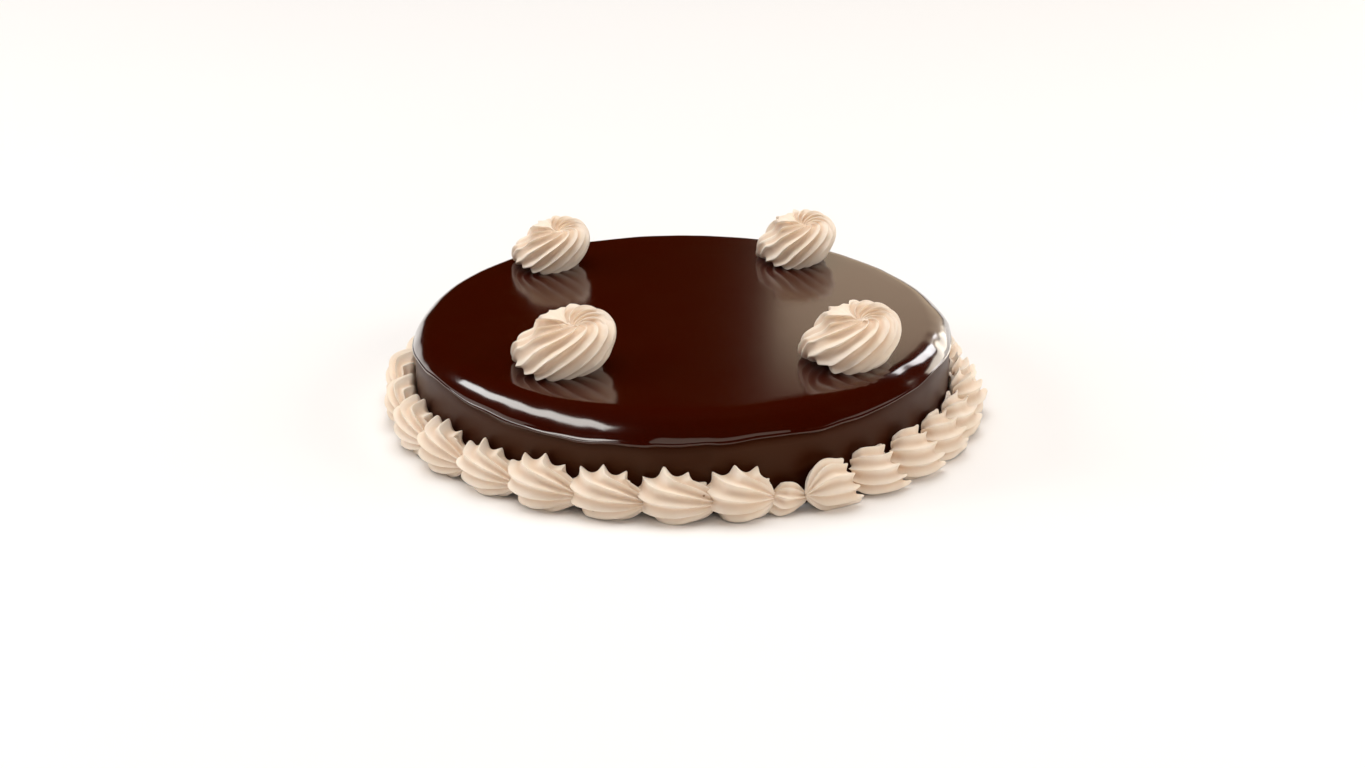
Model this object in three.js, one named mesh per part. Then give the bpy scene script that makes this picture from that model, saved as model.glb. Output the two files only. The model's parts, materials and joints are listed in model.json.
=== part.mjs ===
// A round chocolate truffle cake: a low body under a poured glaze, four piped rosettes on top,
// and a border of piped shells round its foot. Millimetres, +Z up, origin at the centre of the base.

import * as THREE from "three";

// The body
const WALL_RADIUS = 98.6;
const CAKE_HEIGHT = 36.3;
const FOOT_CHAMFER = 0.6;
const SHOULDER_RADIUS = 7;
const SHOULDER_STEPS = 4;
const TOP_MIDDLE_RADIUS = 50;
const BODY_SIDES = 64;

// The glaze's lower edge, a lip that stands off the wall above a shallow crease and dips in waves
const LIP_HEIGHT = 27.3;
const LIP_OVERHANG = 0.7;
const LIP_THICKNESS = 0.9;
const CREASE_DEPTH = 0.5;
const CREASE_BELOW = 1.6;
const WAVE_FOOT = 12;
const LIP_WAVES = [
  { count: 1, depth: 1.35, peak: 17.0 },
  { count: 2, depth: 0.8, peak: -3.5 },
  { count: 3, depth: 1.0, peak: -26.5 },
  { count: 4, depth: 0.7, peak: 35.7 },
  { count: 5, depth: 1.1, peak: -15.1 },
];

// The rosettes: a fluted swirl that rises from a drawn-in foot to a ring with a dimple in it.
// The profile is in shares of the radius and of the height, from the dimple out to the foot.
const ROSETTE_RIDGES = 11;
const ROSETTE_ROWS = 11;
const ROSETTE_PROFILE = [
  [0, 0.83],
  [0.2, 0.92],
  [0.46, 1],
  [0.72, 0.95],
  [0.91, 0.75],
  [1, 0.45],
  [0.95, 0.16],
  [0.82, 0],
];
const ROSETTE_TWIST = 235;
const ROSETTE_TWIST_SHAPE = 0.65;
const ROSETTE_FLUTE = 0.1;
const ROSETTE_LEAN_RIGHT = 0.2;
const ROSETTE_LEAN_FRONT = 0.12;
const ROSETTE_LEAN_MIDDLE = 0.5;
const ROSETTES = [
  { name: "rosette_front_left", x: -42.2, y: -50.8, width: 36.8, height: 19.2, turn: 0 },
  { name: "rosette_front_right", x: 59.7, y: -45.0, width: 35.9, height: 18.6, turn: 9 },
  { name: "rosette_back_left", x: -50.6, y: 56.9, width: 29.7, height: 16.4, turn: 4 },
  { name: "rosette_back_right", x: 43.6, y: 62.7, width: 30.6, height: 16.8, turn: 16 },
];

// The shells: a star-shaped rope of cream that starts at a slanting mouth, with the rope's teeth
// flared up and back, and is drawn off along the wall into a tail behind the next shell's mouth.
const SHELL_RIDGES = 12;
const SHELL_WAYS = [0, 0.2, 0.42, 0.64, 0.84];
const SHELL_MIDDLE_OUT = 5.6;
const SHELL_MIDDLE_HEIGHT = 6.5;
const SHELL_MOUTH_RISE = 1.2;
const SHELL_MOUTH_RISE_SHAPE = 3;
const SHELL_HALF_OUT = 5.4;
const SHELL_HALF_IN = 5.6;
const SHELL_HALF_HEIGHT = 7.4;
const SHELL_TAIL_IN = 2.6;
const SHELL_TAIL_IN_SHAPE = 2.2;
const SHELL_TAPER = 0.85;
const SHELL_TAPER_SHAPE = 2.6;
const SHELL_FLUTE = 0.1;
const SHELL_LOW_TOOTH = 0.3;
const SHELL_MOUTH_FACING = 165;
const SHELL_MOUTH_SHAPE = 5;
const SHELL_WALL_HUG = 0.45;
const SHELL_WALL_HUG_UNTIL = 0.5;
const SHELL_ARC_RADIUS = 104;

// A shell's make: how far its tail reaches in shares of its length, where its mouth lies and how wide
// it is, how deep the mouth's middle is sunk, and how far its teeth stand out and lean back
const RUN_SHELL = { reach: 1.3, mouthPlace: 0.42, mouthWidth: 1, recess: 1.5, tooth: 0.22, back: 0.9 };
const LAST_SHELL = { ...RUN_SHELL, reach: 1 };
const CLOSING_SHELL = { reach: 1, mouthPlace: 0.1, mouthWidth: 0.72, recess: -1.4, tooth: 0, back: 0 };

// Two runs of shells start side by side at the back and meet at the front, where a small one closes
// the ring. Angles are in degrees round +Z from +X.
const RUN_START = 88;
const LEFT_RUN_END = 287.5;
const LEFT_RUN_SHELLS = 15;
const RIGHT_RUN_END = -66.2;
const RIGHT_RUN_SHELLS = 14;
const CLOSING_SHELL_END = -67;
const CLOSING_SHELL_SCALE = 0.78;
const UNEVEN_STEP = 2.4;
const UNEVEN_SIZE = 0.04;
const UNEVEN_TURN = 6;
const UNEVEN_TURN_SALT = 2;
const FULL_TURN = 360;

const GAP = 0.3;

const rad = THREE.MathUtils.degToRad;

const glaze = () => new THREE.MeshStandardMaterial({ color: 0x2e140b, roughness: 0.12, metalness: 0 });
const cream = () => new THREE.MeshStandardMaterial({ color: 0xe2ccb5, roughness: 0.7, metalness: 0 });

// A small repeatable unevenness, between -1 and 1, for piece number k
function uneven(k, salt) {
  return Math.sin(UNEVEN_STEP * k + salt);
}

// A closed globe of rows and columns whose points are all placed anew. Row 0 and the last row are
// single points, and columns run anticlockwise seen from outside row 0.
function wrapped(columns, rows, place) {
  const geometry = new THREE.SphereGeometry(1, columns, rows);
  const position = geometry.attributes.position;
  for (let row = 0; row <= rows; row += 1) {
    for (let column = 0; column <= columns; column += 1) {
      const point = place(row, column % columns);
      position.setXYZ(row * (columns + 1) + column, point.x, point.y, point.z);
    }
  }
  return geometry;
}

function lipHeight(angle) {
  let height = LIP_HEIGHT;
  for (const wave of LIP_WAVES) {
    height += wave.depth * Math.cos(wave.count * (angle - rad(wave.peak)));
  }
  return height;
}

// The body's half outline, from the middle of the base up the wall, round the lip and over the top
function bodyOutline() {
  const lipRadius = WALL_RADIUS + LIP_OVERHANG;
  const outline = new THREE.Path();
  outline.moveTo(0, 0);
  outline.lineTo(WALL_RADIUS - FOOT_CHAMFER, 0);
  outline.lineTo(WALL_RADIUS, FOOT_CHAMFER);
  outline.lineTo(WALL_RADIUS, WAVE_FOOT);
  outline.lineTo(WALL_RADIUS, LIP_HEIGHT - CREASE_BELOW);
  outline.lineTo(WALL_RADIUS - CREASE_DEPTH, LIP_HEIGHT - CREASE_DEPTH);
  outline.lineTo(lipRadius, LIP_HEIGHT);
  outline.lineTo(lipRadius, LIP_HEIGHT + LIP_THICKNESS);
  const arcCentre = new THREE.Vector2(lipRadius - SHOULDER_RADIUS, CAKE_HEIGHT - SHOULDER_RADIUS);
  for (let step = 0; step <= SHOULDER_STEPS; step += 1) {
    const angle = (step / SHOULDER_STEPS) * (Math.PI / 2);
    outline.lineTo(
      arcCentre.x + SHOULDER_RADIUS * Math.cos(angle),
      arcCentre.y + SHOULDER_RADIUS * Math.sin(angle),
    );
  }
  outline.lineTo(TOP_MIDDLE_RADIUS, CAKE_HEIGHT);
  outline.lineTo(0, CAKE_HEIGHT);
  return outline.getPoints(1);
}

// Heights between the wall's foot and the top are stretched so that the lip follows its waves
function waved(height, angle) {
  if (height <= WAVE_FOOT) {
    return height;
  }
  const lip = lipHeight(angle);
  if (height <= LIP_HEIGHT) {
    return WAVE_FOOT + ((height - WAVE_FOOT) * (lip - WAVE_FOOT)) / (LIP_HEIGHT - WAVE_FOOT);
  }
  return lip + ((height - LIP_HEIGHT) * (CAKE_HEIGHT - lip)) / (CAKE_HEIGHT - LIP_HEIGHT);
}

function cakeBody() {
  const geometry = new THREE.LatheGeometry(bodyOutline(), BODY_SIDES);
  geometry.rotateX(Math.PI / 2);
  const position = geometry.attributes.position;
  for (let i = 0; i < position.count; i += 1) {
    const angle = Math.atan2(position.getY(i), position.getX(i));
    position.setZ(i, waved(position.getZ(i), angle));
  }
  const mesh = new THREE.Mesh(geometry, glaze());
  mesh.name = "cake";
  return mesh;
}

// Ridges stand out at even columns and valleys lie at odd ones
function ridge(column) {
  return column % 2 === 0 ? 1 : -1;
}

function rosette(spec) {
  const columns = 2 * ROSETTE_RIDGES;
  const radius = spec.width / 2 / (1 + ROSETTE_FLUTE);
  const profile = new THREE.SplineCurve(ROSETTE_PROFILE.map(([r, z]) => new THREE.Vector2(r, z)));
  const geometry = wrapped(columns, ROSETTE_ROWS, (row, column) => {
    if (row === ROSETTE_ROWS) {
      return new THREE.Vector3(0, 0, 0);
    }
    const turned = row / (ROSETTE_ROWS - 1);
    const ring = profile.getPointAt(turned ** (1 / ROSETTE_TWIST_SHAPE));
    const angle = (column / columns) * 2 * Math.PI - rad(ROSETTE_TWIST) * turned + rad(spec.turn);
    const reach = radius * ring.x * (1 + ROSETTE_FLUTE * ridge(column));
    const lean = radius * (ring.y - ROSETTE_LEAN_MIDDLE);
    return new THREE.Vector3(
      ROSETTE_LEAN_RIGHT * lean + reach * Math.cos(angle),
      -ROSETTE_LEAN_FRONT * lean + reach * Math.sin(angle),
      spec.height * ring.y,
    );
  });
  const mesh = new THREE.Mesh(geometry, cream());
  mesh.name = spec.name;
  mesh.position.set(spec.x, spec.y, CAKE_HEIGHT + GAP);
  return mesh;
}

// One shell, with x outwards from the wall, y along the border to its tail, and z up. A point lies
// some way from the mouth (0) to the tail (1), at an angle round the rope from outwards to up.
function shellPoint({ make, length, scale }, way, angle, crest) {
  const mouth = 1 - (1 - make.mouthWidth) * (1 - way) ** SHELL_MOUTH_SHAPE;
  const girth = scale * mouth * (1 - SHELL_TAPER * way ** SHELL_TAPER_SHAPE);
  const out = scale * (SHELL_MIDDLE_OUT - SHELL_TAIL_IN * way ** SHELL_TAIL_IN_SHAPE);
  const height = scale * (SHELL_MIDDLE_HEIGHT + SHELL_MOUTH_RISE * (1 - way) ** SHELL_MOUTH_RISE_SHAPE);
  const up = Math.sin(angle);
  const outward = Math.cos(angle);
  const toothed = way === 0 && crest > 0;
  const tooth = toothed ? make.tooth * Math.max(SHELL_LOW_TOOTH, up) : 0;
  const back = toothed ? make.back : 0;
  const size = girth * (1 + SHELL_FLUTE * crest + tooth);
  const hug = up > 0 && outward < 0 && way < SHELL_WALL_HUG_UNTIL ? SHELL_WALL_HUG : 1;
  const start = length * make.mouthPlace * (1 + Math.cos(angle - rad(SHELL_MOUTH_FACING)));
  return new THREE.Vector3(
    Math.max(GAP, out + size * outward * (outward > 0 ? SHELL_HALF_OUT : SHELL_HALF_IN)),
    (start - back) * (1 - way) + length * make.reach * way - length / 2,
    Math.max(0, height + size * SHELL_HALF_HEIGHT * Math.sign(up) * Math.abs(up) ** hug),
  );
}

function shellGeometry(form) {
  const { make, length, scale, turn } = form;
  const columns = 2 * SHELL_RIDGES;
  const rows = SHELL_WAYS.length + 1;
  return wrapped(columns, rows, (row, column) => {
    if (row === 0) {
      const middle = length * (make.mouthPlace - 1 / 2) + make.recess;
      return new THREE.Vector3(SHELL_MIDDLE_OUT * scale, middle, SHELL_MIDDLE_HEIGHT * scale);
    }
    if (row === rows) {
      const tip = shellPoint(form, 1, 0, 0);
      return tip.setX(scale * (SHELL_MIDDLE_OUT - SHELL_TAIL_IN));
    }
    const angle = (column / columns) * 2 * Math.PI + rad(turn);
    return shellPoint(form, SHELL_WAYS[row - 1], angle, ridge(column));
  });
}

// A shell that fills the border from its head's angle to its tail's angle
function shell(name, head, tail, { make, scale, turn }) {
  const length = rad(Math.abs(tail - head)) * SHELL_ARC_RADIUS;
  const mesh = new THREE.Mesh(shellGeometry({ make, length, scale, turn }), cream());
  mesh.name = name;
  mesh.position.x = WALL_RADIUS;
  mesh.scale.y = Math.sign(tail - head);
  const place = new THREE.Group();
  place.rotation.z = rad((head + tail) / 2);
  place.add(mesh);
  return place;
}

// A run of shells from the back to the front, each with its own small unevenness
function run(side, end, count, salt) {
  const shells = new THREE.Group();
  const pitch = (end - RUN_START) / count;
  for (let k = 0; k < count; k += 1) {
    const head = RUN_START + k * pitch;
    const make = k === count - 1 ? LAST_SHELL : RUN_SHELL;
    const scale = 1 + UNEVEN_SIZE * uneven(k, salt);
    const turn = UNEVEN_TURN * uneven(k, salt + UNEVEN_TURN_SALT);
    shells.add(shell(`shell_${side}_${k + 1}`, head, head + pitch, { make, scale, turn }));
  }
  return shells;
}

function border() {
  const ring = new THREE.Group();
  ring.add(run("left", LEFT_RUN_END, LEFT_RUN_SHELLS, 0));
  ring.add(run("right", RIGHT_RUN_END, RIGHT_RUN_SHELLS, 1));
  const closing = { make: CLOSING_SHELL, scale: CLOSING_SHELL_SCALE, turn: 0 };
  ring.add(shell("shell_closing", LEFT_RUN_END - FULL_TURN, CLOSING_SHELL_END, closing));
  return ring;
}

const cake = new THREE.Group();
cake.add(cakeBody());
for (const spec of ROSETTES) {
  cake.add(rosette(spec));
}
cake.add(border());

export default cake;
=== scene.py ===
# %% [markdown]
# # A chocolate truffle cake
# The cake is a low round body under a dark mirror glaze. Four rosettes of whipped chocolate cream stand
# on top, and a border of piped shells runs round its foot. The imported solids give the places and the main
# sizes. This lesson models the same pieces again with their fine form and gives them their finish.

import json
import math

import bmesh
import bpy
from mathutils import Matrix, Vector

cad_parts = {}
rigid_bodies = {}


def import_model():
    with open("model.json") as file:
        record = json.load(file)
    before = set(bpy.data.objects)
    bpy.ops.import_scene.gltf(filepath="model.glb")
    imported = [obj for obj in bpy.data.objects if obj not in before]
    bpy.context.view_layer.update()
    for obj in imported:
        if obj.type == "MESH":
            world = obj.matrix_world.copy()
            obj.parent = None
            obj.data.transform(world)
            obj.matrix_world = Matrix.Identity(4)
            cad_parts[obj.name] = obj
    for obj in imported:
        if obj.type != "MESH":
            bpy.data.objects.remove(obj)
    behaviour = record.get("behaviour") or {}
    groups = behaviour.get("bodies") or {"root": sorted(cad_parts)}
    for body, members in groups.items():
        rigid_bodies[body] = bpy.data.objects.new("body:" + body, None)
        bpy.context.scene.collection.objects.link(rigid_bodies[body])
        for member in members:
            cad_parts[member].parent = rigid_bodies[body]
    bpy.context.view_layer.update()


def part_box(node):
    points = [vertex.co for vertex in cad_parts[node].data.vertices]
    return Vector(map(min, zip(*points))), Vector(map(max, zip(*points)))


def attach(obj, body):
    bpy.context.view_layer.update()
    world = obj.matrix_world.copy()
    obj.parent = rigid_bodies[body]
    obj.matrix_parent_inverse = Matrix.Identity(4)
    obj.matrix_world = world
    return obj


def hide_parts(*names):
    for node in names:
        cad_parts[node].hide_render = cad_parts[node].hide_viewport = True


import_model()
MM = 0.001

# %% [markdown]
# ## The camera
# A long lens looks down on the cake from the front. The photograph is taken to be 1365 pixels wide, and
# the lens follows from a focal length in those pixels. The camera aims a little above the middle of the
# base.

# %% Place the camera
PHOTO_WIDTH = 1365
FOCAL_PIXELS = 3200
SENSOR_WIDTH = 36
CAMERA_DISTANCE = 1.194
CAMERA_ELEVATION = math.radians(22.13)
AIM = Vector((0, 0, 0.0092))


def aimed(place, target):
    """The turn of a camera or lamp that looks from a place at a target."""
    return (Vector(target) - Vector(place)).to_track_quat("-Z", "Y").to_euler()


camera_place = (
    0,
    -CAMERA_DISTANCE * math.cos(CAMERA_ELEVATION),
    CAMERA_DISTANCE * math.sin(CAMERA_ELEVATION),
)
bpy.ops.object.select_all(action="DESELECT")
bpy.ops.object.camera_add(location=camera_place, rotation=aimed(camera_place, AIM))
camera = bpy.context.object
camera.data.sensor_width = SENSOR_WIDTH
camera.data.lens = SENSOR_WIDTH * FOCAL_PIXELS / PHOTO_WIDTH
bpy.context.scene.camera = camera
print("lens:", round(camera.data.lens, 1), "mm")

# %% [markdown]
# ## Light
# A mirror glaze shows what surrounds it more than its own colour, so two kinds of lamp hang here.
# Softboxes light the cream and the floor, and no gloss shows them. Mirror cards are the other way round:
# they show in gloss and light nothing matte. A long card high on the left draws the streak on the front
# left shoulder. A window card behind the cake gives the sheen on the right of the top, and a strip and a
# low card light up the shoulder and the wall on that side. The room is dim and brown, so the rest of the
# glaze stays dark.

# %% Hang the softboxes and the cards
LIGHT_TARGET = (0, 0, 0.02)
# Each lamp has a place, a size, a power and a colour.
SOFTBOXES = {
    "overhead": ((-0.2, 0.35, 2.1), (2.4, 2.4), 50, (1, 0.985, 0.96)),
    "left_fill": ((-1.5, 0.1, 0.8), (1.0, 0.8), 11, (1, 0.98, 0.95)),
    "front_fill": ((0.4, -1.6, 0.9), (1.6, 1.0), 8, (1, 0.965, 0.91)),
    "right_fill": ((1.4, -0.2, 0.8), (0.9, 0.8), 9, (1, 0.96, 0.9)),
}
MIRROR_CARDS = {
    "high_left": ((-0.95, -0.33, 0.68), (1.4, 0.3), 17, (0.82, 0.92, 1)),
    "window_card": ((0.4, 1.2, 0.32), (0.66, 0.46), 0.95, (1, 0.82, 0.6)),
    "right_strip": ((0.63, 0.98, 0.66), (0.3, 0.35), 2.2, (0.93, 0.95, 1)),
    "low_right_card": ((0.76, 0.68, 0.18), (0.7, 0.34), 3, (1, 0.95, 0.85)),
}


def hang_lamp(name, place, size, power, colour):
    """A rectangular lamp that faces the cake."""
    bpy.ops.object.light_add(type="AREA", location=place, rotation=aimed(place, LIGHT_TARGET))
    lamp = bpy.context.object
    lamp.name = name
    lamp.data.shape = "RECTANGLE"
    lamp.data.size, lamp.data.size_y = size
    lamp.data.energy = power
    lamp.data.color = colour
    return lamp


for name, box in SOFTBOXES.items():
    hang_lamp(name, *box).visible_glossy = False
for name, card in MIRROR_CARDS.items():
    hang_lamp(name, *card).visible_diffuse = False
print("lamps:", ", ".join((*SOFTBOXES, *MIRROR_CARDS)))

# %% Dim the room
ROOM_COLOUR = (0.5, 0.08, 0.01, 1)
ROOM_STRENGTH = 0.05

room = bpy.data.worlds.new("dim_room")
bpy.context.scene.world = room
room.use_nodes = True
room_light = room.node_tree.nodes["Background"].inputs
room_light["Color"].default_value = ROOM_COLOUR
room_light["Strength"].default_value = ROOM_STRENGTH
bpy.context.scene.view_settings.view_transform = "Standard"
print("room strength:", ROOM_STRENGTH)

# %% [markdown]
# ## Shader sums
# A finish is easier to read as a sum than as a web of nodes. This small class wraps one socket, so that a
# plus or a minus adds a Math node, and its node method adds any other node, with its settings and inputs.


# %% A shader value
class Shade:
    """A value in a material that can be used in sums."""

    def __init__(self, socket):
        self.socket = socket

    def node(self, kind, settings, inputs, output=0):
        """Adds a node: its settings first, then what goes into its sockets."""
        tree = self.socket.id_data
        made = tree.nodes.new(kind)
        for name, setting in settings.items():
            setattr(made, name, setting)
        for name, value in inputs.items():
            if isinstance(value, Shade):
                tree.links.new(value.socket, made.inputs[name])
            else:
                made.inputs[name].default_value = value
        return Shade(made.outputs[output])

    def math(self, operation, first, second):
        return self.node("ShaderNodeMath", {"operation": operation}, {0: first, 1: second})

    def __add__(self, other):
        return self.math("ADD", self, other)

    def __radd__(self, other):
        return self.math("ADD", other, self)

    def __sub__(self, other):
        return self.math("SUBTRACT", self, other)

    def __rsub__(self, other):
        return self.math("SUBTRACT", other, self)

    def __mul__(self, other):
        return self.math("MULTIPLY", self, other)

    def __rmul__(self, other):
        return self.math("MULTIPLY", other, self)

    def noise(self, scale, detail):
        return self.node("ShaderNodeTexNoise", {}, {"Vector": self, "Scale": scale, "Detail": detail})

    def attribute(self, name):
        return self.node("ShaderNodeAttribute", {"attribute_name": name}, {}, "Fac")

    def smooth_step(self, low, high):
        """Nought below low and one above high, with a soft change between them."""
        settings = {"interpolation_type": "SMOOTHSTEP"}
        return self.node("ShaderNodeMapRange", settings, {"Value": self, "From Min": low, "From Max": high})

    def mix(self, first, second):
        """The first colour where this value is nought and the second where it is one."""
        inputs = {"Factor": self, 6: first, 7: second}
        return self.node("ShaderNodeMix", {"data_type": "RGBA"}, inputs, 2)

    def bump(self, strength, distance):
        """The normal that this value gives when it is taken as a height."""
        inputs = {"Strength": strength, "Distance": distance, "Height": self}
        return self.node("ShaderNodeBump", {}, inputs, "Normal")


# %% A new finish
def new_finish(name, constants):
    """A material, its shader with its constants set, and its Object coordinates."""
    finish = bpy.data.materials.new(name)
    finish.use_nodes = True
    tree = finish.node_tree
    shader = tree.nodes["Principled BSDF"]
    for socket, value in constants.items():
        shader.inputs[socket].default_value = value
    place = Shade(tree.nodes.new("ShaderNodeTexCoord").outputs["Object"])
    return finish, shader, place


def feed(shader, name, value):
    """Links a varying value to one of the shader's sockets."""
    shader.id_data.links.new(value.socket, shader.inputs[name])


# %% [markdown]
# ## The glaze
# The glaze is dark chocolate with gelatine. It sets to a mirror, and its own colour is a very deep red
# brown. On top it lies as a thick pool, which a clear coat over a soft gloss shows best. On the wall it
# is a thin film, duller and browner, so the coat fades out there. The wall is told by an attribute of the
# mesh, because the lip that ends the pool isn't level. The slow swell that bends the streaks is in the
# mesh as well.

# %% Mix the chocolate glaze
GLAZE_DARK = (0.030, 0.0014, 0.0001, 1)
GLAZE_BROWN = (0.034, 0.0055, 0.0008, 1)
CLOUD_NOISE = (60, 3)
CLOUD_BROWN, WALL_BROWN = 0.5, 0.6
GLAZE_ROUGHNESS = 0.13
WALL_ROUGHNESS, CLOUD_ROUGHNESS = 0.26, 0.04
GLAZE_COAT = 0.8
FILM_NOISE = (700, 2)
FILM_BUMP = (0.02, 0.0004)
GLAZE_CONSTANTS = {
    # A painted warm reflection: the specular tint makes the pale floor show in the wall as if it were gold.
    "Specular Tint": (1, 0.7, 0.42, 1),
    "Specular IOR Level": 0.28,
    "Coat Roughness": 0.12,
    "Coat IOR": 1.46,
}


def mix_glaze():
    finish, shader, place = new_finish("chocolate_glaze", GLAZE_CONSTANTS)
    wall = place.attribute("wall")
    cloud = place.noise(*CLOUD_NOISE)
    feed(shader, "Base Color", (cloud * CLOUD_BROWN + wall * WALL_BROWN).mix(GLAZE_DARK, GLAZE_BROWN))
    feed(shader, "Roughness", GLAZE_ROUGHNESS + wall * WALL_ROUGHNESS + cloud * CLOUD_ROUGHNESS)
    feed(shader, "Coat Weight", GLAZE_COAT - wall * GLAZE_COAT)
    feed(shader, "Normal", place.noise(*FILM_NOISE).bump(*FILM_BUMP))
    return finish


glaze = mix_glaze()
print("glaze nodes:", len(glaze.node_tree.nodes))

# %% [markdown]
# ## The cream
# Whipped cream with a little chocolate is a pale warm beige and matte. Its surface has a fine grain of
# air and soft lumps, and a few burst bubbles show as pin holes, painted dark as shade. It lets some light
# through, which softens its shadows. The furrows between the ridges are painted darker and warmer as
# shade, and an attribute of the mesh marks them.

# %% Mix the whipped cream
CREAM_PALE = (0.91, 0.79, 0.665, 1)
CREAM_WARM = (0.88, 0.745, 0.605, 1)
# Painted shade: the furrows between the ridges are darker and warmer than the rest of the cream.
FURROW_PAINTED_SHADE = (0.66, 0.45, 0.29, 1)
# Painted shade: the pin holes of burst bubbles are dark.
BUBBLE_PAINTED_SHADE = (0.30, 0.17, 0.09, 1)
TONE_NOISE, TONE_EDGES = (90, 3), (0.35, 0.65)
FURROW_SHADE_EDGES, FURROW_SHADE_SHARE = (0.35, 1), 0.55
BUBBLE_SCALE = 130
BUBBLE_EDGES, BUBBLE_CHANCE, BUBBLE_DEPTH = (0.035, 0.075), (0.90, 0.92), 1.5
GRAIN_NOISE, GRAIN_HEIGHT = (1500, 3), 0.35
LUMP_NOISE, LUMP_HEIGHT = (380, 2), 0.65
CREAM_BUMP = (0.35, 0.0005)
CREAM_ROUGHNESS, GRAIN_ROUGHNESS = 0.52, 0.2
CREAM_CONSTANTS = {
    "Subsurface Weight": 0.12,
    "Subsurface Radius": (1, 0.7, 0.45),
    "Subsurface Scale": 0.0025,
    "Specular IOR Level": 0.35,
}


def burst_bubbles(place):
    """One in a few rare pin holes, else nought."""
    cells = {"Vector": place, "Scale": BUBBLE_SCALE}
    near = place.node("ShaderNodeTexVoronoi", {}, cells, "Distance")
    kind = place.node("ShaderNodeTexVoronoi", {}, cells, "Color")
    chance = place.node("ShaderNodeSeparateColor", {}, {"Color": kind}, "Red")
    return (1 - near.smooth_step(*BUBBLE_EDGES)) * chance.smooth_step(*BUBBLE_CHANCE)


def mix_cream():
    finish, shader, place = new_finish("whipped_cream", CREAM_CONSTANTS)
    tone = place.noise(*TONE_NOISE).smooth_step(*TONE_EDGES)
    # The furrow mark sets how much painted shade a point gets.
    furrow = place.attribute("furrow").smooth_step(*FURROW_SHADE_EDGES)
    bubble = burst_bubbles(place)
    grain = place.noise(*GRAIN_NOISE)
    lumps = place.noise(*LUMP_NOISE)
    # Painted shade: darker furrows, and dark pin holes.
    colour = (furrow * FURROW_SHADE_SHARE).mix(tone.mix(CREAM_PALE, CREAM_WARM), FURROW_PAINTED_SHADE)
    feed(shader, "Base Color", bubble.mix(colour, BUBBLE_PAINTED_SHADE))
    feed(shader, "Roughness", CREAM_ROUGHNESS + grain * GRAIN_ROUGHNESS)
    height = grain * GRAIN_HEIGHT + lumps * LUMP_HEIGHT - bubble * BUBBLE_DEPTH
    feed(shader, "Normal", height.bump(*CREAM_BUMP))
    return finish


cream = mix_cream()
print("cream nodes:", len(cream.node_tree.nodes))

# %% [markdown]
# ## The floor
# The cake stands on a plain pale table that runs out of sight. A plane with a soft matte finish is
# enough.

# %% Lay the floor
FLOOR_SIZE = 14
FLOOR_NOISE = (3, 2)
FLOOR_TONES = ((0.9, 0.895, 0.89, 1), (0.93, 0.925, 0.92, 1))
FLOOR_CONSTANTS = {"Roughness": 0.7}


def lay_floor():
    bpy.ops.mesh.primitive_plane_add(size=FLOOR_SIZE)
    floor = bpy.context.object
    floor.name = "floor"
    finish, shader, place = new_finish("pale_table", FLOOR_CONSTANTS)
    feed(shader, "Base Color", place.noise(*FLOOR_NOISE).mix(*FLOOR_TONES))
    floor.data.materials.append(finish)


lay_floor()
print("floor:", FLOOR_SIZE, "m across")

# %% [markdown]
# ## Working by hand in code
# The next helpers do what a hand does in edit mode: select points, turn them about a centre, grow or
# shrink them, shift them, draw out the next ring of a rope of cream, smooth a patch, and press a place
# with a soft reach round it. With no window the turn operator goes the other way round, so the helper
# gives it the opposite angle. The last two helpers apply a modifier and hand a finished piece to the
# frame.

# %% Helpers for edit mode
ORIGIN = (0, 0, 0)
SMOOTHING = 0.5


def pick(test):
    """Selects the points of the mesh in edit mode that pass a test."""
    mesh = bmesh.from_edit_mesh(bpy.context.object.data)
    mesh.verts.ensure_lookup_table()
    for part in (mesh.verts, mesh.edges, mesh.faces):
        for item in part:
            item.select = False
    for point in mesh.verts:
        point.select = test(point)
    mesh.select_flush_mode()
    bmesh.update_edit_mesh(bpy.context.object.data)


def turn(angle, axis, centre):
    bpy.ops.transform.rotate(value=-angle, orient_axis=axis, orient_type="GLOBAL", center_override=centre)


def grow(factors, centre):
    bpy.ops.transform.resize(value=factors, center_override=centre)


def shift(step):
    bpy.ops.transform.translate(value=step)


def draw_out(step):
    bpy.ops.mesh.extrude_region_move(TRANSFORM_OT_translate={"value": step})


def smooth_patch(times):
    bpy.ops.mesh.vertices_smooth(factor=SMOOTHING, repeat=times)


def take_creases_off():
    bpy.ops.transform.edge_crease(value=-1)


def point_outwards():
    bpy.ops.mesh.select_all(action="SELECT")
    bpy.ops.mesh.normals_make_consistent(inside=False)


def press(test, push, spread):
    """Pushes the points that pass a test, and less and less what lies around them, as far as the spread."""
    pick(test)
    bpy.ops.transform.translate(
        value=push, use_proportional_edit=True, proportional_edit_falloff="SMOOTH", proportional_size=spread
    )


# %% Helpers for finished pieces
def apply_modifier(kind, **settings):
    """Adds a modifier to the active object and applies it."""
    piece = bpy.context.object
    modifier = piece.modifiers.new(kind.title(), kind)
    for name, setting in settings.items():
        setattr(modifier, name, setting)
    bpy.ops.object.modifier_apply(modifier=modifier.name)


def hand_over(piece, node, finish):
    """Gives a finished piece its material and its place in the frame."""
    piece.name = node + "_look"
    piece.data.name = piece.name
    piece.data.materials.clear()
    piece.data.materials.append(finish)
    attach(piece, "root")
    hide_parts(node)


# %% [markdown]
# ## The cake's body
# The body is turned, so half its outline is drawn as a chain of points and spun round the axis. The
# outline goes up the wall, in at the crease, out round the bead of the lip where the poured glaze ends,
# over the round shoulder and in to the middle.

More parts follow.
